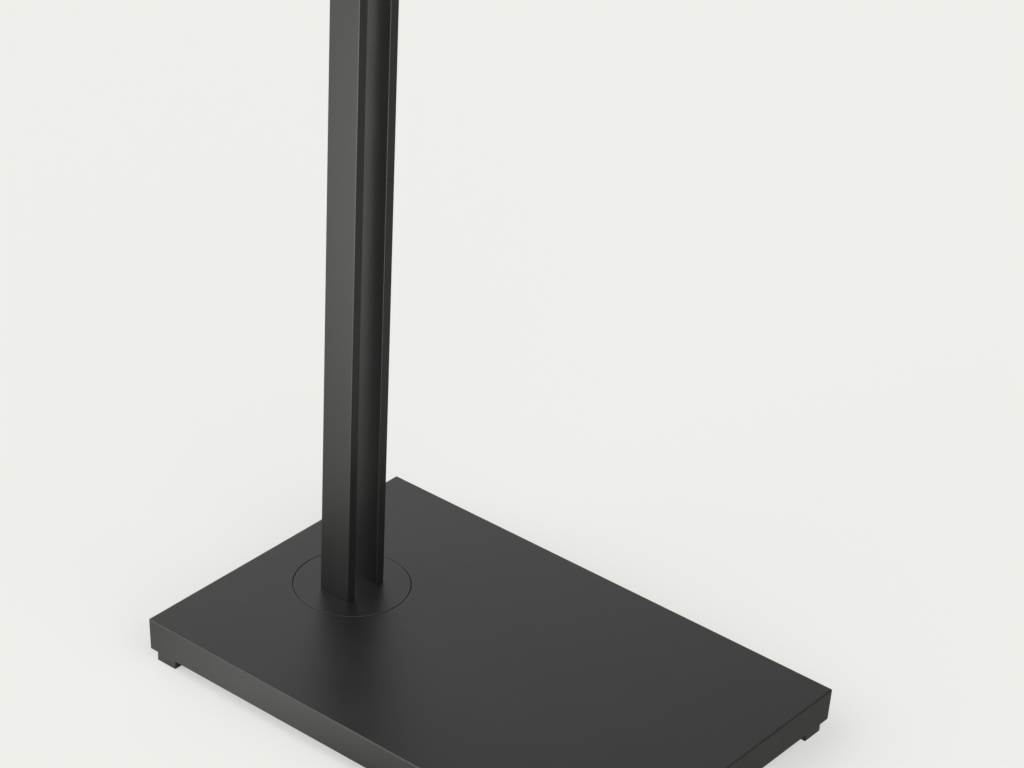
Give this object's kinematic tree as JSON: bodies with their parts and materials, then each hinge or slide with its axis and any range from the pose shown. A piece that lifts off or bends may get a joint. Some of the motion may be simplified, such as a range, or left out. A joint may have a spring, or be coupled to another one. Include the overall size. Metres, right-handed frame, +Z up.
{
  "type": "standing coat rack",
  "caption": "Standing coat rack: heavy rectangular base, off-centre post of two parallel flat bars on a flush swivel disc, strip hooks between the bars.",
  "frame": {"origin": "on the floor, under the middle of the rectangular base", "axes": "+X along the base's long side, from the post's end towards the free end; +Y along the short side, from the front bar to the back bar; +Z up along the post"},
  "size_m": [0.46, 0.3, 1.75],
  "materials": {
    "black_powder_coat": "matt fine-grained powder coat",
    "black_screw": "black oxide, slightly oily",
    "foot_plastic": "matt moulded",
    "bronze_bush": "machined sintered bronze",
    "washer_polymer": "smooth acetal",
    "black_sheet": "thin matt paint",
    "plain_steel": "rolled, oiled",
    "machined_steel": "turned",
    "zinc_screw": "zinc plated"
  },
  "bodies": {
    "base": {"base_cover": "black_powder_coat", "bottom_plate": "black_sheet", "ballast_plate_upper": "plain_steel", "ballast_plate_lower": "plain_steel", "ballast_screws": "zinc_screw", "plate_screws": "zinc_screw", "corner_block_front_left": "plain_steel", "corner_block_front_right": "plain_steel", "corner_block_back_left": "plain_steel", "corner_block_back_right": "plain_steel", "foot_front_left": "foot_plastic", "foot_front_right": "foot_plastic", "foot_back_left": "foot_plastic", "foot_back_right": "foot_plastic", "foot_screws": "zinc_screw", "swivel_housing": "machined_steel", "housing_screws": "zinc_screw", "spindle_bush": "bronze_bush", "thrust_washer": "washer_polymer"},
    "post": {"post_disc": "black_powder_coat", "spindle": "machined_steel", "spindle_screws": "zinc_screw", "retaining_washer": "machined_steel", "retaining_screw": "zinc_screw", "post_bar_front": "black_powder_coat", "post_bar_back": "black_powder_coat", "post_bar_screws": "zinc_screw", "spacer_lower": "black_powder_coat", "spacer_top": "black_powder_coat", "spacer_screws": "black_screw", "hook_1": "black_powder_coat", "hook_2": "black_powder_coat", "hook_3": "black_powder_coat", "hook_4": "black_powder_coat", "hook_block_1": "black_powder_coat", "hook_block_2": "black_powder_coat", "hook_block_3": "black_powder_coat", "hook_block_4": "black_powder_coat", "hook_screws": "black_screw", "hook_block_screws": "black_screw"}
  },
  "joints": [
    {"name": "post_swivel", "type": "hinge", "parent": "base", "child": "post", "pos_m": [-0.1456, 0, 0.04], "axis": [0, 0, 1], "continuous": true}
  ]
}
